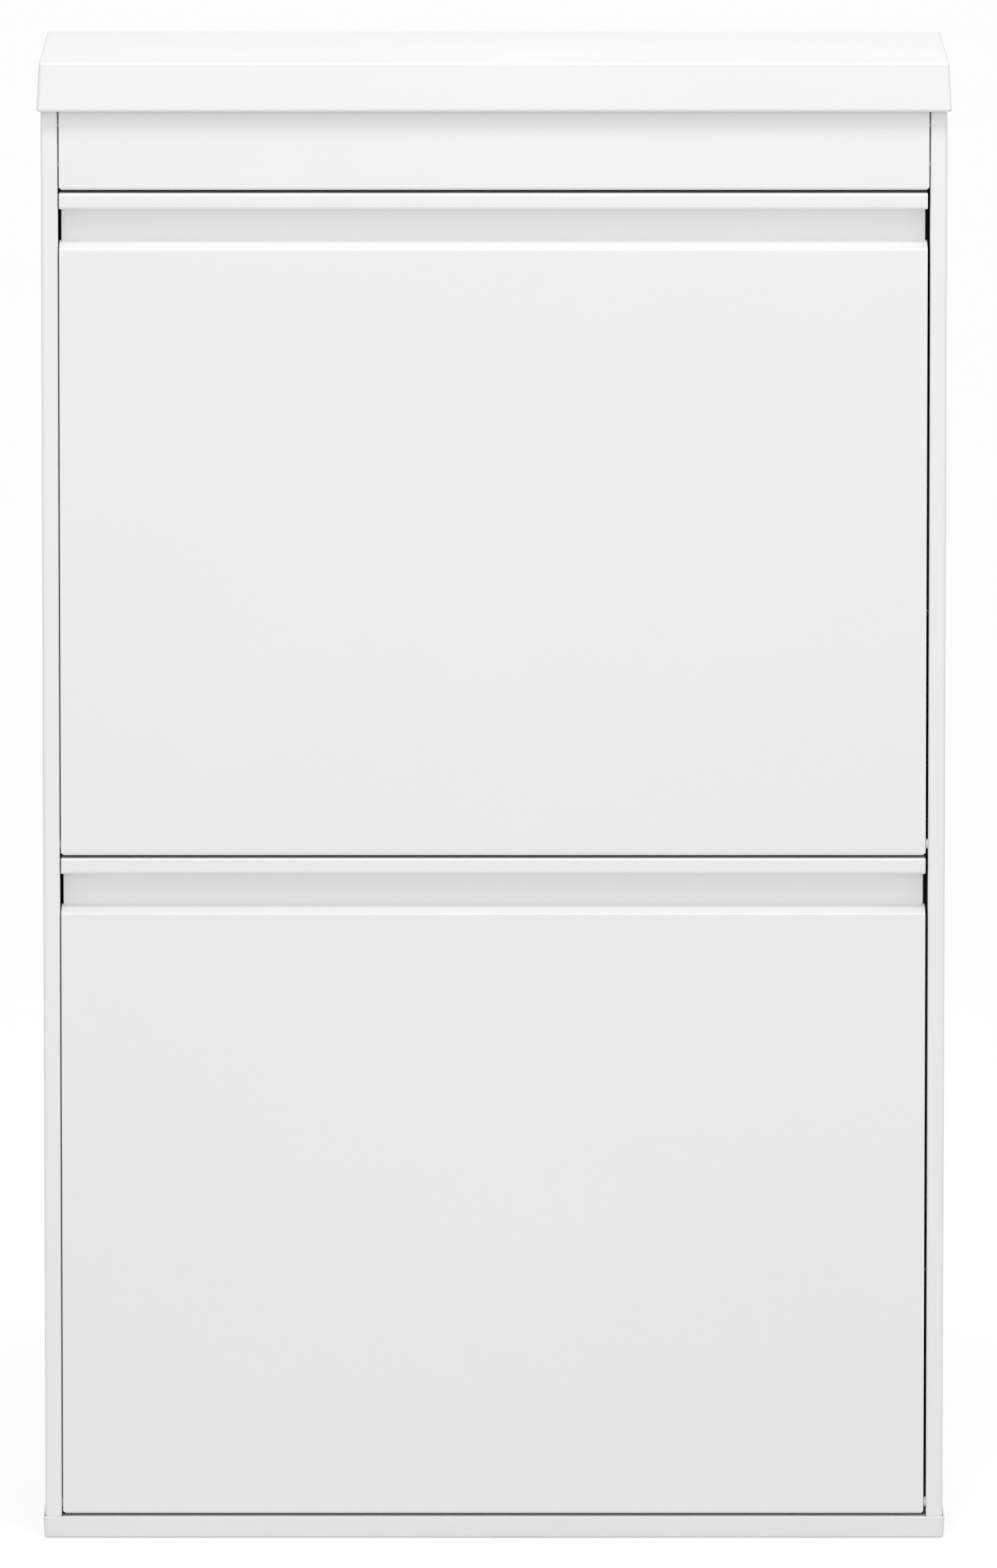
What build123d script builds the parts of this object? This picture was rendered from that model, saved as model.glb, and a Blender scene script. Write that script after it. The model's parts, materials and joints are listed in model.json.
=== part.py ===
from build123d import *
from math import cos, radians, sin
import os

# Slim two-bin tilt-out shoe cabinet in folded sheet steel, with a moulded cap and base.
# Millimetres. +Z is up, +X runs across the width and the fronts face -Y.
# The origin is on the floor, under the middle of the cabinet.

# Overall size, over the cap.
WIDTH = 508.0
DEPTH = 180.0
HEIGHT = 832.5

# Heights above the floor.
BASE_BOTTOM = 0.5
DECK = 8.5
BASE_RIM = 12.5
LOWER_FRONT_BOTTOM = 14.0
CAP_BOTTOM = 805.2
BODY_TOP = 812.0

# Sheet steel, with the inside radius of a normal bend.
SHEET = 0.8
BEND = 0.9

# Steel body: two folded sides, with the flange plane as the cabinet's front.
BODY_WIDTH = 503.4
FLANGE_PLANE = -84.0
BODY_REAR = 88.2
FLANGE_WIDTH = 9.3
FLANGE_RETURN = 9.0
REAR_FLANGE = 18.0
TAB_WIDTH = 15.0
TAB_FRONT = -60.0
TAB_REAR = 70.0

# The two tilting fronts are alike and hang a little to the left of centre.
FRONT_WIDTH = 482.8
FRONT_SHIFT = -0.4
FRONT_HEIGHT = 371.8
FRONT_GAP = 1.6
FRONT_RETURN = 14.0
LIP_HEIGHT = 9.0
GRIP_HEIGHT = 22.0
GRIP_DEPTH = 10.5
LEDGE_RISE = 3.6
GRIP_RELIEF = 1.2
EDGE_ROUND = 0.7
CORNER_RELIEF = 1.6

# Fixed fascia above the fronts.
FASCIA_BOTTOM = 761.0
FASCIA_TOP = 811.0
FASCIA_SIDE_GAP = 0.6
FASCIA_SCREW_INSET = 14.0

# Hinge line of each bin, from the face and the bottom edge of its front.
PIVOT_DEPTH = 5.0
PIVOT_RISE = 6.0
PIN_RADIUS = 2.0
PIN_REACH = 9.8
PIN_HEAD_RADIUS = 3.5
PIN_HEAD_HEIGHT = 1.5
RUNNING_CLEARANCE = 0.05
BUSH_RADIUS = 2.8
BUSH_NOSE_GAP = 0.3
BUSH_OUTER_REACH = 3.8
BUSH_FLANGE_RADIUS = 3.5
BUSH_FLANGE = 1.2
EAR_DEPTH = 22.0
EAR_HALF_HEIGHT = 12.0

# Travel: a fixed stud runs in an arc slot of each cheek.
TILT_DEGREES = 40.0
STUD_ORBIT = 130.0
STUD_REST_ANGLE = 75.0
STUD_RADIUS = 2.5
STUD_TIP_X = 236.0
STUD_HEAD_RADIUS = 4.5
STUD_HEAD = 1.5
STUD_FOOT_RADIUS = 5.0
STUD_FOOT = 1.2
SLOT_HALF_WIDTH = 2.9

# Bin cheek, measured from the pivot: how far it reaches back and up.
CHEEK_FRONT = -3.9
CHEEK_BOTTOM = -4.9
CHEEK_REAR = 150.0
CHEEK_SHOULDER = 170.0
CHEEK_TOP = 330.0
CHEEK_TOP_DEPTH = 60.0
CHEEK_RIM = 6.0
CHEEK_CORNER = 20.0
CHEEK_FOOT_CORNER = 2.0

# Shoe tray and rods, measured from the pivot.
TRAY_REAR = 142.8
TRAY_REAR_HEIGHT = 60.0
TRAY_FRONT_HEIGHT = 18.0
TRAY_HEM = 8.8
TRAY_END_GAP = 3.7
TRAY_TAB = (20.0, 134.0)
TRAY_TAB_TOP = 16.0
TRAY_SCREWS = ((40.0, 8.0), (120.0, 8.0))
ROD_RADIUS = 3.0
TENON_RADIUS = 2.0
LOW_ROD = (140.0, 105.0)
HIGH_ROD = (112.0, 215.0)

# Screws and their holes.
SCREW_RADIUS = 1.75
SCREW_HOLE_RADIUS = 1.8
HEAD_RADIUS = 3.5
HEAD_HEIGHT = 1.8
CAP_SCREW_LENGTH = 12.0
FRAME_SCREW_LENGTH = 8.0
FASCIA_SCREW_LENGTH = 6.0
TRAY_SCREW_LENGTH = 4.5
WALL_HOLE_RADIUS = 2.5
WALL_HOLE_SPACING = 400.0

# How far a hole's cutter reaches to each side of its sheet.
CUT_REACH = 2.0

# Rear rails: C channels between the sides, with their mid heights.
RAIL_DEPTH = 10.8
WALL_RAIL = (781.0, 32.0)
MIDDLE_RAIL = (395.0, 24.0)
BACK_PANEL_REAR = BODY_REAR - SHEET
BACK_SIDE_GAP = 1.2
REAR_SCREW_HEIGHTS = (60.0, 228.0, MIDDLE_RAIL[0], 588.0, WALL_RAIL[0])

# Places shared by the cap and base screws, in from the side panels.
FRAME_SCREW_X = 243.0
FRAME_SCREWS_Y = (-40.0, 60.0)

PITCH = FRONT_HEIGHT + FRONT_GAP
BODY_HALF = BODY_WIDTH / 2
SKIN_INSIDE = BODY_HALF - SHEET
RETURN_FACE = BODY_HALF - FLANGE_WIDTH

# Gap between the folded body and the cap or base that it stands in.
BODY_CLEARANCE = 0.3
REBATE_HALF = BODY_HALF + BODY_CLEARANCE
REBATE_REAR = BODY_REAR + BODY_CLEARANCE

# Top cap: a shell drafted in towards its top, with ribs and screw bosses inside.
CAP_SIDE_DRAFT = 1.6
CAP_FRONT_DRAFT = 1.4
CAP_CORNER = 2.0
CAP_UPPER_ROUND = 1.4
CAP_LOWER_ROUND = 1.6
CAP_CEILING = HEIGHT - 2.0
CAP_CAVITY_HALF = 250.0
CAP_CAVITY_FRONT = -86.4
CAP_CAVITY_REAR = REBATE_REAR - 1.5
CAP_RIB = 1.6
CAP_RIB_BOTTOM = BODY_TOP + 8.0
CAP_RIB_STEP_X = 80.0
CAP_RIB_STEP_Y = 45.0
CAP_BOSS_RADIUS = 4.0
CAP_BOSS_HOLE_TOP = BODY_TOP + 13.0

# Base: a deck with a rim round the body, narrower towards the floor.
BASE_HALF_RIM = BODY_HALF + 1.2
BASE_FRONT_RIM = -86.6
BASE_SIDE_DRAFT = 0.7
BASE_FRONT_DRAFT = 0.6
BASE_CORNER = 3.0
BASE_LOWER_ROUND = 1.3
BASE_RIM_ROUND = 0.6
BASE_DECK = 2.0
BASE_SKIRT = 2.4
BASE_FRONT_WALL = 3.0
BASE_RIB = 1.8
BASE_RIBS_X = (-120.0, 0.0, 120.0)
BASE_RIDGE_HALF = RETURN_FACE - 0.5
BASE_RIDGE_REAR = FLANGE_PLANE + 18.0

# Anti-slip pads in pockets of the base.
PAD_RADIUS = 9.0
PAD_HEIGHT = 1.5
PAD_X = 222.0
PADS_Y = (-58.0, 62.0)
PAD_POCKET_GAP = 0.2
PAD_POCKET_WALL = 2.0

PIVOT_Y = FLANGE_PLANE + PIVOT_DEPTH
PIVOT_HEIGHTS = {
    "lower": LOWER_FRONT_BOTTOM + PIVOT_RISE,
    "upper": LOWER_FRONT_BOTTOM + PITCH + PIVOT_RISE,
}
SIDES = {"left": -1, "right": 1}


def block(x, y, z):
    """A box given by its (low, high) pair along each axis."""
    size = Box(x[1] - x[0], y[1] - y[0], z[1] - z[0])
    return Pos((x[0] + x[1]) / 2, (y[0] + y[1]) / 2, (z[0] + z[1]) / 2) * size


def span(a, b):
    """The same stretch of an axis as a (low, high) pair, whichever end comes first."""
    return (min(a, b), max(a, b))


def rod_x(radius, start, end, y, z):
    """A cylinder along X from start to end."""
    low, high = span(start, end)
    return Pos((low + high) / 2, y, z) * Rot(0, 90, 0) * Cylinder(radius, high - low)


def rod_y(radius, start, end, x, z):
    """A cylinder along Y from start to end."""
    low, high = span(start, end)
    return Pos(x, (low + high) / 2, z) * Rot(90, 0, 0) * Cylinder(radius, high - low)


def rod_z(radius, start, end, x, y):
    """A cylinder along Z from start to end."""
    low, high = span(start, end)
    return Pos(x, y, (low + high) / 2) * Cylinder(radius, high - low)


def hole_x(radius, x, y, z):
    """Cutter along X for a hole through a sheet at x."""
    return rod_x(radius, x - CUT_REACH, x + CUT_REACH, y, z)


def hole_y(radius, x, y, z):
    """Cutter along Y for a hole through a sheet at y."""
    return rod_y(radius, y - CUT_REACH, y + CUT_REACH, x, z)


def hole_z(radius, x, y, z):
    """Cutter along Z for a hole through a sheet at z."""
    return rod_z(radius, z - CUT_REACH, z + CUT_REACH, x, y)


def mirrored_places(x, depths):
    """The (x, y) places on both sides of the middle, at each of the depths."""
    return [(side * x, y) for side in SIDES.values() for y in depths]


def bent_sides(path, bend):
    """Both sides of a folded sheet: the far side's points, and the bend radii of each side.

    The path is the near side and the metal lies to its left.
    """
    points = [Vector(*point) for point in path]
    headings = [(b - a).normalized() for a, b in zip(points, points[1:])]
    lefts = [Vector(-heading.Y, heading.X) for heading in headings]
    far_side = [points[0] + lefts[0] * SHEET]
    near_radii = []
    far_radii = []
    for index in range(1, len(points) - 1):
        before, after = lefts[index - 1], lefts[index]
        far_side.append(points[index] + (before + after) * (SHEET / (1 + before.dot(after))))
        turns_left = headings[index - 1].cross(headings[index]).Z > 0
        near_radii.append(bend + SHEET if turns_left else bend)
        far_radii.append(bend if turns_left else bend + SHEET)
    far_side.append(points[-1] + lefts[-1] * SHEET)
    return far_side, near_radii, far_radii


def sheet_face(path, bend=BEND):
    """Section of a folded sheet: path is one face and the metal lies to its left."""
    far_side, near_radii, far_radii = bent_sides(path, bend)
    radii = [0, *near_radii, 0, 0, *reversed(far_radii), 0]
    return make_face(FilletPolyline(*path, *reversed(far_side), radius=radii, close=True))


def folded_pan(path, width):
    """A sheet folded along path, seen end on as (depth, height), and closed at both ends.

    The path runs from the top return to the bottom return, and the front is at depth 0.
    """
    section = Plane.YZ * sheet_face(path)
    pan = extrude(section, width / 2, both=True)
    _, front_radii, _ = bent_sides(path, BEND)
    outline = FilletPolyline(*path, radius=[0, *front_radii, 0], close=True)
    end_face = Plane.YZ * make_face(outline)
    for side in SIDES.values():
        end_middle = side * (width - SHEET) / 2
        pan += Pos(end_middle, 0, 0) * extrude(end_face, SHEET / 2, both=True)
    rear = max(depth for depth, _ in path)
    end_edges = [
        edge
        for edge in pan.edges()
        if abs(abs(edge.center().X) - width / 2) < SHEET / 4 and edge.center().Y < rear - SHEET / 4
    ]
    pan = fillet(end_edges, EDGE_ROUND)
    bottom = min(height for _, height in path)
    for side in SIDES.values():
        corner = Pos(side * width / 2, 0, bottom) * Rot(0, 45, 0)
        relief = Box(CORNER_RELIEF * 2**0.5, 3 * rear, CORNER_RELIEF * 2**0.5)
        pan -= corner * relief
    return pan


def screw(length):
    """Pan-head screw standing on its tip side: the head is below Z = 0, the shank above."""
    head = Pos(0, 0, -HEAD_HEIGHT / 2) * Cylinder(HEAD_RADIUS, HEAD_HEIGHT)
    head = fillet(head.edges().sort_by(Axis.Z)[0], HEAD_HEIGHT / 2)
    drive = Pos(0, 0, -HEAD_HEIGHT) * Box(HEAD_RADIUS, HEAD_HEIGHT / 3, HEAD_HEIGHT)
    drive += Rot(0, 0, 90) * drive
    shank = rod_z(SCREW_RADIUS, 0, length, 0, 0)
    shank = chamfer(shank.edges().sort_by(Axis.Z)[-1], SCREW_RADIUS / 3)
    return head - drive + shank


# --- Fixed body -------------------------------------------------------------------------


def side_panel(side):
    """Folded side: front flange with its return, rear flange, top and bottom tabs."""
    section = sheet_face(
        [
            (side * RETURN_FACE, FLANGE_PLANE + FLANGE_RETURN),
            (side * RETURN_FACE, FLANGE_PLANE),
            (side * BODY_HALF, FLANGE_PLANE),
            (side * BODY_HALF, BODY_REAR),
            (side * (BODY_HALF - REAR_FLANGE), BODY_REAR),
        ][:: side]
    )
    panel = Pos(0, 0, DECK) * extrude(section, BODY_TOP - DECK)
    tab_x = span(side * (BODY_HALF - TAB_WIDTH), side * (SKIN_INSIDE + SHEET / 2))
    for low in (DECK, BODY_TOP - SHEET):
        panel += block(tab_x, (TAB_FRONT, TAB_REAR), (low, low + SHEET))
    return_x = span(side * RETURN_FACE, side * (RETURN_FACE + SHEET))
    for height in PIVOT_HEIGHTS.values():
        ear_y = (FLANGE_PLANE + FLANGE_RETURN - BEND, FLANGE_PLANE + EAR_DEPTH)
        panel += block(return_x, ear_y, (height - EAR_HALF_HEIGHT, height + EAR_HALF_HEIGHT))
        panel -= hole_x(BUSH_RADIUS + RUNNING_CLEARANCE, side * RETURN_FACE, PIVOT_Y, height)
    for y in FRAME_SCREWS_Y:
        for z in (DECK, BODY_TOP):
            panel -= hole_z(SCREW_HOLE_RADIUS, side * FRAME_SCREW_X, y, z)
    for z in REAR_SCREW_HEIGHTS:
        panel -= hole_y(SCREW_HOLE_RADIUS, side * FRAME_SCREW_X, BODY_REAR, z)
    for z in fascia_screw_heights():
        panel -= hole_x(SCREW_HOLE_RADIUS, side * RETURN_FACE, PIVOT_Y, z)
    return panel


def back_panel():
    """Flat rear sheet in front of the side panels' rear flanges."""
    half = SKIN_INSIDE - BACK_SIDE_GAP
    depth = (BACK_PANEL_REAR - SHEET, BACK_PANEL_REAR)
    panel = block((-half, half), depth, (DECK + 1, BODY_TOP - 1.5))
    for side in SIDES.values():
        for z in REAR_SCREW_HEIGHTS:
            panel -= hole_y(SCREW_HOLE_RADIUS, side * FRAME_SCREW_X, BACK_PANEL_REAR, z)
        wall_hole_x = side * WALL_HOLE_SPACING / 2
        panel -= hole_y(WALL_HOLE_RADIUS, wall_hole_x, BACK_PANEL_REAR, WALL_RAIL[0])
    return panel


def rear_rail(middle, height, wall_holes):
    """C channel across the inside of the back panel."""
    rear = BACK_PANEL_REAR - SHEET
    front = rear - RAIL_DEPTH
    top, bottom = middle + height / 2, middle - height / 2
    section = sheet_face([(front, bottom), (rear, bottom), (rear, top), (front, top)])
    half = SKIN_INSIDE - BACK_SIDE_GAP
    rail = extrude(Plane.YZ * section, half, both=True)
    for side in SIDES.values():
        rail -= hole_y(SCREW_HOLE_RADIUS, side * FRAME_SCREW_X, rear, middle)
        if wall_holes:
            rail -= hole_y(WALL_HOLE_RADIUS, side * WALL_HOLE_SPACING / 2, rear, middle)
    return rail


def fascia_screw_heights():
    """Heights of the screws at each end of the fascia."""
    return (FASCIA_BOTTOM + FASCIA_SCREW_INSET, FASCIA_TOP - FASCIA_SCREW_INSET)


def fascia_panel():
    """Fixed pan between the side flanges, from under the cap to the upper front."""
    width = 2 * (RETURN_FACE - FASCIA_SIDE_GAP)
    height = FASCIA_TOP - FASCIA_BOTTOM
    path = [(FRONT_RETURN, height), (0, height), (0, 0), (FRONT_RETURN, 0)]
    fascia = Pos(0, FLANGE_PLANE, FASCIA_BOTTOM) * folded_pan(path, width)
    for z in fascia_screw_heights():
        for side in SIDES.values():
            fascia -= hole_x(SCREW_HOLE_RADIUS, side * width / 2, PIVOT_Y, z)
    return fascia


def drafted_block(low, high, corner):
    """Block with a plumb rear face, lofted between two outlines.

    Each outline is given as (half width, front, height).
    """
    rear = DEPTH / 2
    outlines = []
    for half, front, z in (low, high):
        outline = RectangleRounded(2 * half, rear - front, corner)
        outlines.append(Pos(0, (rear + front) / 2, z) * outline)
    return loft(outlines)


def cap_shell():
    """The cap's outer form, with its upper and lower edges rounded."""
    low = (WIDTH / 2, -DEPTH / 2, CAP_BOTTOM)
    high = (WIDTH / 2 - CAP_SIDE_DRAFT, CAP_FRONT_DRAFT - DEPTH / 2, HEIGHT)
    shell = drafted_block(low, high, CAP_CORNER)
    shell = fillet(shell.faces().sort_by(Axis.Z)[-1].edges(), CAP_UPPER_ROUND)
    ahead_of_rear = DEPTH / 2 - CAP_CORNER - 1
    lower_edges = shell.faces().sort_by(Axis.Z)[0].edges()
    rounded_edges = [edge for edge in lower_edges if edge.center().Y < ahead_of_rear]
    return fillet(rounded_edges, CAP_LOWER_ROUND)


def top_cap():
    """Moulded cap that flares towards its rounded lower edge and sits over the body."""
    cap = cap_shell()
    rebate_x = (-REBATE_HALF, REBATE_HALF)
    cap -= block(rebate_x, (CAP_CAVITY_FRONT, REBATE_REAR), (CAP_BOTTOM - 1, BODY_TOP))
    cavity_x = (-CAP_CAVITY_HALF, CAP_CAVITY_HALF)
    cavity_y = (CAP_CAVITY_FRONT, CAP_CAVITY_REAR)
    cap -= block(cavity_x, cavity_y, (BODY_TOP - 1, CAP_CEILING))
    rib_z = (CAP_RIB_BOTTOM, CAP_CEILING)
    for step in (-1, 0, 1):
        y = step * CAP_RIB_STEP_Y
        cap += block(cavity_x, (y, y + CAP_RIB), rib_z)
    for step in (-2, -1, 0, 1, 2):
        x = step * CAP_RIB_STEP_X
        cap += block((x, x + CAP_RIB), cavity_y, rib_z)
    for x, y in mirrored_places(FRAME_SCREW_X, FRAME_SCREWS_Y):
        cap += rod_z(CAP_BOSS_RADIUS, BODY_TOP, CAP_CEILING, x, y)
        cap -= rod_z(SCREW_HOLE_RADIUS, BODY_TOP - 1, CAP_BOSS_HOLE_TOP, x, y)
    return cap


def base_shell():
    """The base's outer form, with its floor edge and its rim's front half rounded."""
    low = (BASE_HALF_RIM - BASE_SIDE_DRAFT, BASE_FRONT_RIM + BASE_FRONT_DRAFT, BASE_BOTTOM)
    high = (BASE_HALF_RIM, BASE_FRONT_RIM, BASE_RIM)
    shell = drafted_block(low, high, BASE_CORNER)
    shell = fillet(shell.faces().sort_by(Axis.Z)[0].edges(), BASE_LOWER_ROUND)
    rim_edges = shell.faces().sort_by(Axis.Z)[-1].edges()
    return fillet([edge for edge in rim_edges if edge.center().Y < 0], BASE_RIM_ROUND)


def base_tray():
    """Moulded base: a deck with a rim round the body, a front ridge and a hollow underside."""
    base = base_shell()
    rim_inside = FLANGE_PLANE - BODY_CLEARANCE
    well_z = (DECK, BASE_RIM + 1)
    well = block((-REBATE_HALF, REBATE_HALF), (rim_inside, REBATE_REAR), well_z)
    ridge_x = (-BASE_RIDGE_HALF, BASE_RIDGE_HALF)
    well -= block(ridge_x, (rim_inside - 1, BASE_RIDGE_REAR), well_z)
    base -= well
    underside_top = DECK - BASE_DECK
    under_half = REBATE_HALF - BASE_SKIRT
    under_front = BASE_FRONT_RIM + BASE_FRONT_WALL
    under_rear = DEPTH / 2 - BASE_SKIRT
    base -= block((-under_half, under_half), (under_front, under_rear), (0, underside_top))
    ridge_inside = BASE_RIDGE_HALF - BASE_DECK
    ridge_y = (under_front, BASE_RIDGE_REAR - BASE_DECK)
    base -= block((-ridge_inside, ridge_inside), ridge_y, (0, BASE_RIM - BASE_DECK))
    rib_z = (BASE_BOTTOM + 1, underside_top)
    for x in BASE_RIBS_X:
        base += block((x, x + BASE_RIB), (ridge_y[1], under_rear), rib_z)
    for x, y in mirrored_places(PAD_X, PADS_Y):
        base += rod_z(PAD_RADIUS + PAD_POCKET_WALL, BASE_BOTTOM, underside_top, x, y)
        base -= rod_z(PAD_RADIUS + PAD_POCKET_GAP, 0, PAD_HEIGHT, x, y)
    for x, y in mirrored_places(FRAME_SCREW_X, FRAME_SCREWS_Y):
        base -= hole_z(SCREW_HOLE_RADIUS, x, y, DECK - BASE_DECK / 2)
    return base


def foot_pads():
    """Four round anti-slip pads in the pockets of the base."""
    return [rod_z(PAD_RADIUS, 0, PAD_HEIGHT, x, y) for x, y in mirrored_places(PAD_X, PADS_Y)]


def cap_screws():
    """Four screws up through the side panels' top tabs into the cap."""
    places = mirrored_places(FRAME_SCREW_X, FRAME_SCREWS_Y)
    return [Pos(x, y, BODY_TOP - SHEET) * screw(CAP_SCREW_LENGTH) for x, y in places]


def base_screws():
    """Four screws up through the base deck and the side panels' bottom tabs."""
    places = mirrored_places(FRAME_SCREW_X, FRAME_SCREWS_Y)
    return [Pos(x, y, DECK - BASE_DECK) * screw(FRAME_SCREW_LENGTH) for x, y in places]


def rear_screws():
    """Screws from behind through the rear flanges, the back panel and the rails."""
    turned = Rot(90, 0, 0) * screw(FRAME_SCREW_LENGTH)
    return [
        Pos(side * FRAME_SCREW_X, BODY_REAR, z) * turned
        for z in REAR_SCREW_HEIGHTS
        for side in SIDES.values()
    ]


def fascia_screws():
    """Screws from inside the fascia's ends into the side panels' returns."""
    head_seat = RETURN_FACE - FASCIA_SIDE_GAP - SHEET
    return [
        Pos(side * head_seat, PIVOT_Y, z) * Rot(0, side * 90, 0) * screw(FASCIA_SCREW_LENGTH)
        for z in fascia_screw_heights()
        for side in SIDES.values()
    ]


def front_edge(side):
    """X of a front's left or right edge."""
    return FRONT_SHIFT + side * FRONT_WIDTH / 2


def pivot_bush(side, pivot_z):
    """Flanged bush in a side panel's ear, whose nose fills the gap beside the front."""
    nose = front_edge(side) + side * BUSH_NOSE_GAP
    outer_end = side * (RETURN_FACE + BUSH_OUTER_REACH)
    flange_seat = side * (RETURN_FACE + SHEET + RUNNING_CLEARANCE)
    flange_end = flange_seat + side * BUSH_FLANGE
    bush = rod_x(BUSH_RADIUS, nose, outer_end, PIVOT_Y, pivot_z)
    bush += rod_x(BUSH_FLANGE_RADIUS, flange_seat, flange_end, PIVOT_Y, pivot_z)
    bore = PIN_RADIUS + RUNNING_CLEARANCE
    return bush - rod_x(bore, nose - side, outer_end + side, PIVOT_Y, pivot_z)


def on_stud_orbit(pivot_z, degrees):
    """The (y, z) place on a bin's stud orbit."""
    angle = radians(degrees)
    return (PIVOT_Y + STUD_ORBIT * cos(angle), pivot_z + STUD_ORBIT * sin(angle))


def stop_studs(pivot_z):
    """A headed stud on each side panel that stops the bin at both ends of its travel."""
    y, z = on_stud_orbit(pivot_z, STUD_REST_ANGLE)
    studs = []
    for side in SIDES.values():
        tip, foot = side * STUD_TIP_X, side * SKIN_INSIDE
        stud = rod_x(STUD_RADIUS, tip, foot, y, z)
        stud += rod_x(STUD_HEAD_RADIUS, tip, tip + side * STUD_HEAD, y, z)
        stud += rod_x(STUD_FOOT_RADIUS, foot - side * STUD_FOOT, foot, y, z)
        studs.append(stud)
    return studs


# --- Tilting bins -----------------------------------------------------------------------


def front_panel(pivot_z):
    """Folded front: a top lip, a grip groove with relieved ends and a bevelled ledge."""
    bottom = pivot_z - PIVOT_RISE
    lip_bottom = FRONT_HEIGHT - LIP_HEIGHT
    face_top = lip_bottom - GRIP_HEIGHT
    path = [
        (FRONT_RETURN, FRONT_HEIGHT),
        (0, FRONT_HEIGHT),
        (0, lip_bottom),
        (GRIP_DEPTH, lip_bottom),
        (GRIP_DEPTH, face_top + LEDGE_RISE),
        (0, face_top),
        (0, 0),
        (FRONT_RETURN, 0),
    ]
    front = Pos(FRONT_SHIFT, FLANGE_PLANE, bottom) * folded_pan(path, FRONT_WIDTH)
    relief_y = (FLANGE_PLANE + GRIP_DEPTH - SHEET, FLANGE_PLANE + FRONT_RETURN + SHEET)
    relief_z = (bottom + face_top + LEDGE_RISE, bottom + lip_bottom - SHEET / 2)
    for side in SIDES.values():
        edge = front_edge(side)
        front -= hole_x(PIN_RADIUS + RUNNING_CLEARANCE, edge, PIVOT_Y, pivot_z)
        front -= block(span(edge - side * GRIP_RELIEF, edge + side), relief_y, relief_z)
    return front


def cheek_inside(side):
    """X of a cheek's inner face."""
    return front_edge(side) - side * 2 * SHEET


def arc_slot(thickness):
    """Slot for the stop stud, about the pivot, standing on the YZ plane."""
    slot_path = CenterArc((0, 0), STUD_ORBIT, STUD_REST_ANGLE - TILT_DEGREES, TILT_DEGREES)
    slot_face = Plane.YZ * SlotArc(slot_path, 2 * SLOT_HALF_WIDTH)
    return extrude(slot_face, thickness, both=True)


def cheek(side, pivot_z):
    """Bin end plate with a turned-in rim along its free edges and the stop slot."""
    corners = [
        (CHEEK_REAR, CHEEK_BOTTOM),
        (CHEEK_REAR, CHEEK_SHOULDER),
        (CHEEK_TOP_DEPTH, CHEEK_TOP),
        (CHEEK_FRONT, CHEEK_TOP),
        (CHEEK_FRONT, CHEEK_BOTTOM),
    ]
    rounds = [CHEEK_FOOT_CORNER, *2 * [CHEEK_CORNER], *2 * [CHEEK_FOOT_CORNER]]
    plate_face = make_face(FilletPolyline(*corners, radius=rounds, close=True))
    middle = cheek_inside(side) + side * SHEET / 2
    plate = extrude(Plane.YZ * plate_face, SHEET / 2, both=True)
    rim_face = sheet_face(corners[:4], bend=CHEEK_CORNER - SHEET)
    inward = -side * (CHEEK_RIM + SHEET / 2)
    rim = Pos(inward / 2, 0, 0) * extrude(Plane.YZ * rim_face, CHEEK_RIM / 2 + SHEET / 4, both=True)
    whole = plate + rim
    whole -= arc_slot(CHEEK_RIM)
    whole -= hole_x(PIN_RADIUS + RUNNING_CLEARANCE, 0, 0, 0)
    for y, z in (LOW_ROD, HIGH_ROD):
        whole -= hole_x(TENON_RADIUS + RUNNING_CLEARANCE, 0, y, z)
    for y, z in TRAY_SCREWS:
        whole -= hole_x(SCREW_HOLE_RADIUS, 0, y, z)
    return Pos(middle, PIVOT_Y, pivot_z) * whole


def shoe_tray(pivot_z):
    """Folded tray that the shoes stand in, with a tab at each end for its screws."""
    front = SHEET - PIVOT_DEPTH
    floor = SHEET - PIVOT_RISE
    path = [
        (front, TRAY_FRONT_HEIGHT),
        (front, floor),
        (TRAY_REAR, floor),
        (TRAY_REAR, TRAY_REAR_HEIGHT),
        (TRAY_REAR - TRAY_HEM, TRAY_REAR_HEIGHT),
    ]
    low, high = cheek_inside(-1), cheek_inside(1)
    half_length = (high - low) / 2 - TRAY_END_GAP
    tray = Pos(FRONT_SHIFT, 0, 0) * extrude(Plane.YZ * sheet_face(path), half_length, both=True)
    for side in SIDES.values():
        end = cheek_inside(side)
        reach = span(end - side * (TRAY_END_GAP + 1), end)
        tray += block(reach, TRAY_TAB, (floor, floor + SHEET))
        tray += block(span(end - side * SHEET, end), TRAY_TAB, (floor, TRAY_TAB_TOP))
        for y, z in TRAY_SCREWS:
            tray -= hole_x(SCREW_HOLE_RADIUS, end, y, z)
    return Pos(0, PIVOT_Y, pivot_z) * tray


def retaining_rod(place, pivot_z):
    """Steel rod across the bin's rear, with a tenon through each cheek."""
    y, z = PIVOT_Y + place[0], pivot_z + place[1]
    low, high = cheek_inside(-1), cheek_inside(1)
    rod = rod_x(ROD_RADIUS, low, high, y, z)
    return rod + rod_x(TENON_RADIUS, low - SHEET, high + SHEET, y, z)


def pivot_pins(pivot_z):
    """Headed pin at each end of the hinge line, from inside the cheek into the bush."""
    pins = []
    for side in SIDES.values():
        seat = cheek_inside(side)
        head_end = seat - side * PIN_HEAD_HEIGHT
        pin = rod_x(PIN_RADIUS, head_end, seat + side * PIN_REACH, PIVOT_Y, pivot_z)
        pins.append(pin + rod_x(PIN_HEAD_RADIUS, head_end, seat, PIVOT_Y, pivot_z))
    return pins


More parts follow.
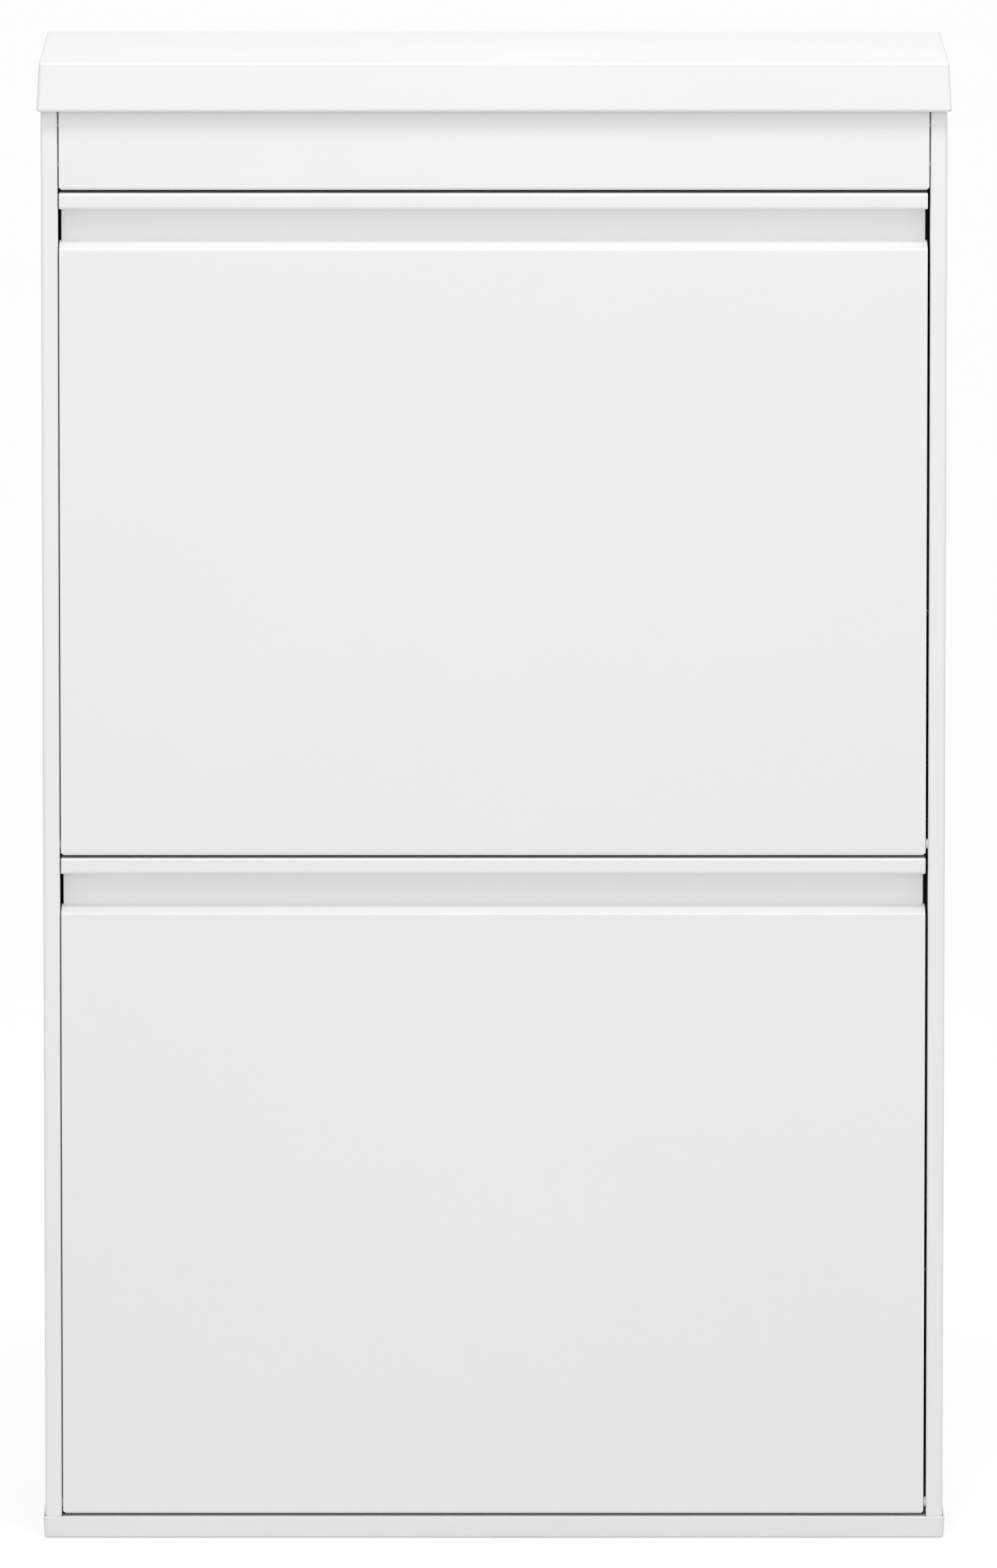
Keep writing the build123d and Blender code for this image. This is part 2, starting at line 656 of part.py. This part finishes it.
def tray_screws(pivot_z):
    """Two screws at each end of the tray, from inside the bin through tab and cheek."""
    screws = []
    for side in SIDES.values():
        head_seat = cheek_inside(side) - side * SHEET
        turned = Rot(0, side * 90, 0) * screw(TRAY_SCREW_LENGTH)
        for y, z in TRAY_SCREWS:
            screws.append(Pos(head_seat, PIVOT_Y + y, pivot_z + z) * turned)
    return screws


# --- Write every piece ------------------------------------------------------------------


def cabinet_pieces():
    """Every fixed piece by its node name."""
    pieces = {
        "top_cap": top_cap(),
        "base_tray": base_tray(),
        "back_panel": back_panel(),
        "fascia_panel": fascia_panel(),
        "wall_fixing_rail": rear_rail(*WALL_RAIL, wall_holes=True),
        "middle_rear_rail": rear_rail(*MIDDLE_RAIL, wall_holes=False),
        "cap_screws": cap_screws(),
        "base_screws": base_screws(),
        "rear_screws": rear_screws(),
        "fascia_screws": fascia_screws(),
        "foot_pads": foot_pads(),
    }
    for side_name, side in SIDES.items():
        pieces[f"{side_name}_side_panel"] = side_panel(side)
        for bin_name, pivot_z in PIVOT_HEIGHTS.items():
            pieces[f"{bin_name}_{side_name}_pivot_bush"] = pivot_bush(side, pivot_z)
    for bin_name, pivot_z in PIVOT_HEIGHTS.items():
        pieces[f"{bin_name}_stop_studs"] = stop_studs(pivot_z)
    return pieces


def bin_pieces(bin_name, pivot_z):
    """Every piece of one tilting bin by its node name."""
    return {
        f"{bin_name}_front_panel": front_panel(pivot_z),
        f"{bin_name}_left_cheek": cheek(SIDES["left"], pivot_z),
        f"{bin_name}_right_cheek": cheek(SIDES["right"], pivot_z),
        f"{bin_name}_shoe_tray": shoe_tray(pivot_z),
        f"{bin_name}_low_retaining_rod": retaining_rod(LOW_ROD, pivot_z),
        f"{bin_name}_high_retaining_rod": retaining_rod(HIGH_ROD, pivot_z),
        f"{bin_name}_pivot_pins": pivot_pins(pivot_z),
        f"{bin_name}_tray_screws": tray_screws(pivot_z),
    }


os.makedirs("parts", exist_ok=True)
every_piece = cabinet_pieces()
for bin_name, pivot_z in PIVOT_HEIGHTS.items():
    every_piece.update(bin_pieces(bin_name, pivot_z))
for node, shape in every_piece.items():
    solids = shape if isinstance(shape, list) else [shape]
    export_step(Compound(children=solids), f"parts/{node}.step")
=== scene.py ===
import json
import math

import bpy
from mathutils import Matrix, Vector


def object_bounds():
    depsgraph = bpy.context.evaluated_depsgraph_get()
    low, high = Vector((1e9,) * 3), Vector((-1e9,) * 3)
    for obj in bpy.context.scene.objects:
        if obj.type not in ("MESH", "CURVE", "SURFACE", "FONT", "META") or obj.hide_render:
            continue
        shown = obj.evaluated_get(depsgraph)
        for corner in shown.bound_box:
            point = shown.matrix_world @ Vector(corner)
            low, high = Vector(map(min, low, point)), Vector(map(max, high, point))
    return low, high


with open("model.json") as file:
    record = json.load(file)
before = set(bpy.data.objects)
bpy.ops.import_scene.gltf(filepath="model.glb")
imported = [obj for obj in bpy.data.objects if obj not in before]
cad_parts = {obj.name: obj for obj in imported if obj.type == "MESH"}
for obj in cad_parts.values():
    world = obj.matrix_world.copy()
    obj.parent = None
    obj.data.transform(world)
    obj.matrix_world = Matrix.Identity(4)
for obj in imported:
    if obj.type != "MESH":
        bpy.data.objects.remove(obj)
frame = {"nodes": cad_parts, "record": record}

# Slim two-bin shoe cabinet: materials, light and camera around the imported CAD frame.
# Metres, the frame's own axes: +Z is up, +X runs across the width, the fronts face -Y.

CAD_LOW, CAD_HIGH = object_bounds()
MM = 0.001
HEIGHT = CAD_HIGH.z
FRONT_Y = CAD_LOW.y

# Noise runs from 0 to 1, and most of it lies between these two.
NOISE_LOW = 0.3
NOISE_HIGH = 0.7

# Cosine between the rounded and the plain normal, on a full edge and where no edge is left.
EDGE_FULL = 0.75
EDGE_NONE = 0.98
EDGE_SAMPLES = 4

# Floor and surroundings: white to the camera, and a plain light grey as light on the object.
FLOOR_HALF = 24.0
FLOOR_GLOW = 1.16
FLOOR_GLOW_SHARE = 0.7
WORLD_AS_LIGHT = 0.742
WORLD_AS_SEEN = 1.0

# Camera: a long lens from far away, a little above the cap. The lens is in millimetres, the
# shift in shares of the picture's long side and the pitch in degrees below the horizon.
CAMERA_LENS = 370.7
CAMERA_SHIFT_X = 0.0117
CAMERA_SHIFT_Y = -0.17
CAMERA_ASIDE = -0.0077
CAMERA_DISTANCE = 9.0
CAMERA_ABOVE_CAP = 0.8985
CAMERA_PITCH = 7.37
CAMERA_SIGHT = 100.0


# --- Shader helpers ---------------------------------------------------------------------


class Shader:
    """A material's node tree, with one short method per kind of node."""

    def __init__(self, name):
        self.material = bpy.data.materials.new(name)
        self.material.use_nodes = True
        self.nodes = self.material.node_tree.nodes
        self.links = self.material.node_tree.links
        self.nodes.clear()
        coordinates = self.nodes.new("ShaderNodeTexCoord")
        self.place = coordinates.outputs["Object"]
        self.surface = self.nodes.new("ShaderNodeBsdfPrincipled")
        self.output = self.nodes.new("ShaderNodeOutputMaterial")
        self.links.new(self.surface.outputs[0], self.output.inputs["Surface"])

    def feed(self, socket, value):
        """Links a node's output to a socket, or sets the socket to a constant."""
        if isinstance(value, bpy.types.NodeSocket):
            self.links.new(value, socket)
        else:
            socket.default_value = value

    def math(self, operation, a, b=0.0):
        """A Math node's result."""
        node = self.nodes.new("ShaderNodeMath")
        node.operation = operation
        self.feed(node.inputs[0], a)
        self.feed(node.inputs[1], b)
        return node.outputs[0]

    def stretch(self, factors):
        """The place on the object, scaled along each axis."""
        node = self.nodes.new("ShaderNodeMapping")
        self.links.new(self.place, node.inputs["Vector"])
        node.inputs["Scale"].default_value = factors
        return node.outputs[0]

    def noise(self, scale, detail=2.0, roughness=0.5, place=None):
        """Smooth noise from 0 to 1, with scale in cycles per metre."""
        node = self.nodes.new("ShaderNodeTexNoise")
        self.links.new(place or self.place, node.inputs["Vector"])
        node.inputs["Scale"].default_value = scale
        node.inputs["Detail"].default_value = detail
        node.inputs["Roughness"].default_value = roughness
        return node.outputs["Fac"]

    def remap(self, value, low, high, to_low, to_high):
        """Takes value from low..high to to_low..to_high, held at both ends."""
        node = self.nodes.new("ShaderNodeMapRange")
        self.feed(node.inputs["Value"], value)
        for socket, number in zip(("From Min", "From Max", "To Min", "To Max"),
                                  (low, high, to_low, to_high)):
            node.inputs[socket].default_value = number
        return node.outputs[0]

    def spread(self, noise, low, high):
        """Spreads smooth noise over low..high."""
        return self.remap(noise, NOISE_LOW, NOISE_HIGH, low, high)

    def blend(self, share, a, b):
        """Colour a where share is 0 and colour b where it is 1."""
        node = self.nodes.new("ShaderNodeMix")
        node.data_type = "RGBA"
        self.feed(node.inputs[0], share)
        # The node's colour sockets come after its ones for numbers and vectors.
        self.feed(node.inputs[6], a)
        self.feed(node.inputs[7], b)
        return node.outputs[2]

    def soft_edges(self, radius):
        """The normal rounded over sharp edges, and 1 on an edge fading to 0 within radius of it."""
        bevel = self.nodes.new("ShaderNodeBevel")
        bevel.samples = EDGE_SAMPLES
        bevel.inputs["Radius"].default_value = radius
        geometry = self.nodes.new("ShaderNodeNewGeometry")
        dot = self.nodes.new("ShaderNodeVectorMath")
        dot.operation = "DOT_PRODUCT"
        self.links.new(bevel.outputs[0], dot.inputs[0])
        self.links.new(geometry.outputs["Normal"], dot.inputs[1])
        edge = self.remap(dot.outputs["Value"], EDGE_FULL, EDGE_NONE, 1.0, 0.0)
        return bevel.outputs[0], edge

    def bump(self, normal, *layers):
        """Stacks (height, depth in metres) layers on a normal (or None), into the surface."""
        for height, depth in layers:
            node = self.nodes.new("ShaderNodeBump")
            node.inputs["Distance"].default_value = depth
            self.links.new(height, node.inputs["Height"])
            if normal:
                self.links.new(normal, node.inputs["Normal"])
            normal = node.outputs[0]
        self.links.new(normal, self.surface.inputs["Normal"])

    def finish(self, colour, roughness, **constants):
        """Sets the surface's sockets and returns the material. Constants are named as theirs."""
        self.feed(self.surface.inputs["Base Color"], colour)
        self.feed(self.surface.inputs["Roughness"], roughness)
        for name, value in constants.items():
            self.surface.inputs[name.replace("_", " ")].default_value = value
        return self.material


def rgb(red, green, blue):
    """A linear colour with full alpha."""
    return (red, green, blue, 1.0)


def tinted(shader, light, dark, scale, softness):
    """Mottled colour: light and dark blended by soft noise, scale in cycles per metre."""
    cloud = shader.noise(scale, detail=3.0)
    share = shader.remap(cloud, 0.5 - softness, 0.5 + softness, 0.0, 1.0)
    return shader.blend(share, light, dark)


# --- Materials --------------------------------------------------------------------------


def powder_coat(name, light, dark, edge, roughness):
    """Satin powder coat on folded sheet: orange peel, soft sheet waves and thin edges."""
    shader = Shader(name)
    colour = tinted(shader, light, dark, scale=5.0, softness=0.25)
    normal, thin_edge = shader.soft_edges(0.4 * MM)
    patchy = shader.remap(shader.noise(90.0), 0.35, 0.65, 0.25, 1.0)
    worn = shader.math("MULTIPLY", thin_edge, patchy)
    colour = shader.blend(worn, colour, edge)
    handled = shader.noise(14.0, detail=4.0)
    satin = shader.spread(handled, roughness - 0.05, roughness + 0.06)
    rough = shader.math("ADD", satin, shader.math("MULTIPLY", worn, 0.12))
    waves = shader.noise(7.0, detail=1.0)
    peel = shader.noise(650.0, detail=2.0, roughness=0.55)
    shader.bump(normal, (waves, 0.6 * MM), (peel, 0.045 * MM))
    return shader.finish(colour, rough, Specular_IOR_Level=0.5)


def moulded_plastic(name, light, dark, roughness, grain_depth, specular):
    """Injection-moulded white plastic with a fine spark-eroded grain."""
    shader = Shader(name)
    colour = tinted(shader, light, dark, scale=7.0, softness=0.25)
    normal, corner = shader.soft_edges(0.6 * MM)
    rubbed = shader.math("MULTIPLY", corner, shader.noise(60.0))
    handled = shader.noise(18.0, detail=4.0)
    satin = shader.spread(handled, roughness - 0.05, roughness + 0.05)
    rough = shader.math("SUBTRACT", satin, shader.math("MULTIPLY", rubbed, 0.14))
    sink = shader.noise(11.0, detail=1.0)
    grain = shader.noise(2200.0, detail=2.0, roughness=0.6)
    shader.bump(normal, (sink, 0.3 * MM), (grain, grain_depth))
    return shader.finish(colour, rough, Specular_IOR_Level=specular)


def zinc_plate(name):
    """Dull zinc on small turned steel: fine drawing lines and darker patches."""
    shader = Shader(name)
    light = rgb(0.42, 0.43, 0.45)
    dark = rgb(0.28, 0.29, 0.30)
    colour = tinted(shader, light, dark, scale=420.0, softness=0.2)
    lines = shader.noise(900.0, detail=3.0, place=shader.stretch((0.15, 1.0, 1.0)))
    rough = shader.spread(lines, 0.40, 0.58)
    shader.bump(None, (lines, 0.01 * MM))
    return shader.finish(colour, rough, Metallic=1.0)


def natural_nylon(name):
    """Milky nylon of the hinge bushes."""
    shader = Shader(name)
    light = rgb(0.86, 0.85, 0.80)
    dark = rgb(0.78, 0.77, 0.71)
    colour = tinted(shader, light, dark, scale=200.0, softness=0.3)
    grain = shader.noise(1800.0)
    rough = shader.spread(grain, 0.42, 0.56)
    shader.bump(None, (grain, 0.01 * MM))
    return shader.finish(colour, rough, Subsurface_Weight=0.1, Subsurface_Scale=1.0 * MM)


def soft_rubber(name):
    """Matt grey rubber of the foot pads."""
    shader = Shader(name)
    light = rgb(0.12, 0.12, 0.12)
    dark = rgb(0.08, 0.08, 0.08)
    colour = tinted(shader, light, dark, scale=150.0, softness=0.3)
    grain = shader.noise(1500.0, detail=3.0)
    rough = shader.spread(grain, 0.78, 0.92)
    shader.bump(None, (grain, 0.03 * MM))
    return shader.finish(colour, rough)


def slot_materials():
    """The material of each slot in the record."""
    return {
        "white_steel": powder_coat(
            "white_powder_coat",
            light=rgb(0.878, 0.884, 0.872),
            dark=rgb(0.864, 0.872, 0.861),
            edge=rgb(0.80, 0.81, 0.80),
            roughness=0.42,
        ),
        "white_rear_steel": powder_coat(
            "thin_rear_coat",
            light=rgb(0.80, 0.81, 0.80),
            dark=rgb(0.76, 0.77, 0.76),
            edge=rgb(0.62, 0.63, 0.63),
            roughness=0.52,
        ),
        "white_rod": powder_coat(
            "rod_powder_coat",
            light=rgb(0.84, 0.85, 0.84),
            dark=rgb(0.81, 0.82, 0.81),
            edge=rgb(0.74, 0.75, 0.74),
            roughness=0.36,
        ),
        "white_moulding": moulded_plastic(
            "cap_moulding",
            light=rgb(0.892, 0.892, 0.878),
            dark=rgb(0.878, 0.878, 0.865),
            roughness=0.46,
            grain_depth=0.015 * MM,
            specular=0.2,
        ),
        "zinc_steel": zinc_plate("zinc_plate"),
        "natural_nylon": natural_nylon("natural_nylon"),
        "grey_rubber": soft_rubber("grey_rubber"),
    }


def base_plastic():
    """The base tray's moulding, a little darker than the cap's."""
    return moulded_plastic(
        "base_moulding",
        light=rgb(0.868, 0.874, 0.854),
        dark=rgb(0.846, 0.851, 0.834),
        roughness=0.48,
        grain_depth=0.02 * MM,
        specular=0.3,
    )


def dress_nodes():
    """Gives every CAD node the material of its record slot, and the base tray its own tint."""
    by_slot = slot_materials()
    by_node = {"base_tray": base_plastic()}
    for part in frame["record"]["subparts"]:
        name = part["node"]
        mesh = frame["nodes"][name].data
        mesh.materials.clear()
        mesh.materials.append(by_node.get(name) or by_slot[part["material_slot"]])


# --- Studio -----------------------------------------------------------------------------


def floor_paint():
    """Pale paint: near white to the camera, and a light grey bounce on the object."""
    shader = Shader("studio_floor")
    light = rgb(0.74, 0.74, 0.74)
    dark = rgb(0.72, 0.72, 0.72)
    tone = tinted(shader, light, dark, scale=1.5, softness=0.3)
    shader.finish(tone, 0.8, Specular_IOR_Level=0.2)
    glow = shader.nodes.new("ShaderNodeEmission")
    glow.inputs["Strength"].default_value = FLOOR_GLOW
    path = shader.nodes.new("ShaderNodeLightPath")
    seen = shader.math("MULTIPLY", path.outputs["Is Camera Ray"], FLOOR_GLOW_SHARE)
    mix = shader.nodes.new("ShaderNodeMixShader")
    shader.links.new(seen, mix.inputs[0])
    shader.links.new(shader.surface.outputs[0], mix.inputs[1])
    shader.links.new(glow.outputs[0], mix.inputs[2])
    shader.links.new(mix.outputs[0], shader.output.inputs["Surface"])
    return shader.material


def studio_floor():
    """Wide square floor, just under the foot pads."""
    signs = ((-1, -1), (1, -1), (1, 1), (-1, 1))
    corners = [(x * FLOOR_HALF, y * FLOOR_HALF, 0.0) for x, y in signs]
    mesh = bpy.data.meshes.new("studio_floor")
    mesh.from_pydata(corners, [], [(0, 1, 2, 3)])
    mesh.materials.append(floor_paint())
    floor = bpy.data.objects.new("studio_floor", mesh)
    bpy.context.scene.collection.objects.link(floor)


def studio_world():
    """Even white surroundings, which read as plain white behind the object."""
    world = bpy.data.worlds.new("white_studio")
    world.use_nodes = True
    nodes = world.node_tree.nodes
    background = nodes["Background"]
    background.inputs["Color"].default_value = rgb(1.0, 1.0, 1.0)
    path = nodes.new("ShaderNodeLightPath")
    strength = nodes.new("ShaderNodeMapRange")
    strength.inputs["To Min"].default_value = WORLD_AS_LIGHT
    strength.inputs["To Max"].default_value = WORLD_AS_SEEN
    world.node_tree.links.new(path.outputs["Is Camera Ray"], strength.inputs["Value"])
    world.node_tree.links.new(strength.outputs[0], background.inputs["Strength"])
    bpy.context.scene.world = world


def ahead(elevation, distance, aside=0.0):
    """The step from a point on the fronts to a lamp before them, elevation in degrees."""
    angle = math.radians(elevation)
    return Vector((aside, -distance * math.cos(angle), distance * math.sin(angle)))


def soft_box(name, place, target, size, power):
    """A square area light aimed at a point, with its power in watts."""
    light = bpy.data.lights.new(name, "AREA")
    light.shape = "SQUARE"
    light.size = size
    light.energy = power
    lamp = bpy.data.objects.new(name, light)
    lamp.location = place
    lamp.rotation_euler = (target - place).to_track_quat("-Z", "Y").to_euler()
    bpy.context.scene.collection.objects.link(lamp)


def studio_light():
    """Two small keys that draw the shadows of cap and lips, and a wide soft fill in front."""
    cap = Vector((0.0, FRONT_Y, HEIGHT))
    middle = Vector((0.0, FRONT_Y, HEIGHT / 2))
    between_grips = Vector((0.0, FRONT_Y, 0.62 * HEIGHT))
    steep = ahead(elevation=64.74, distance=1.57, aside=0.15)
    half_high = ahead(elevation=45.0, distance=2.503)
    level = ahead(elevation=0.0, distance=2.7)
    soft_box("steep_key", cap + steep, cap, size=0.3, power=10.8)
    soft_box("half_high_key", between_grips + half_high, between_grips, size=0.3, power=2.0)
    soft_box("fill_front", cap + level, middle, size=1.5, power=8.3)


def studio_camera():
    """View from straight in front and a little above the cap, looking slightly down."""
    camera_data = bpy.data.cameras.new("photo_camera")
    camera_data.lens = CAMERA_LENS
    camera_data.shift_x = CAMERA_SHIFT_X
    camera_data.shift_y = CAMERA_SHIFT_Y
    camera_data.clip_end = CAMERA_SIGHT
    camera = bpy.data.objects.new("photo_camera", camera_data)
    camera.location = (CAMERA_ASIDE, -CAMERA_DISTANCE, HEIGHT + CAMERA_ABOVE_CAP)
    camera.rotation_euler = (math.radians(90.0 - CAMERA_PITCH), 0.0, 0.0)
    bpy.context.scene.collection.objects.link(camera)
    bpy.context.scene.camera = camera


dress_nodes()
studio_floor()
studio_world()
studio_light()
studio_camera()
bpy.context.scene.view_settings.view_transform = "Standard"
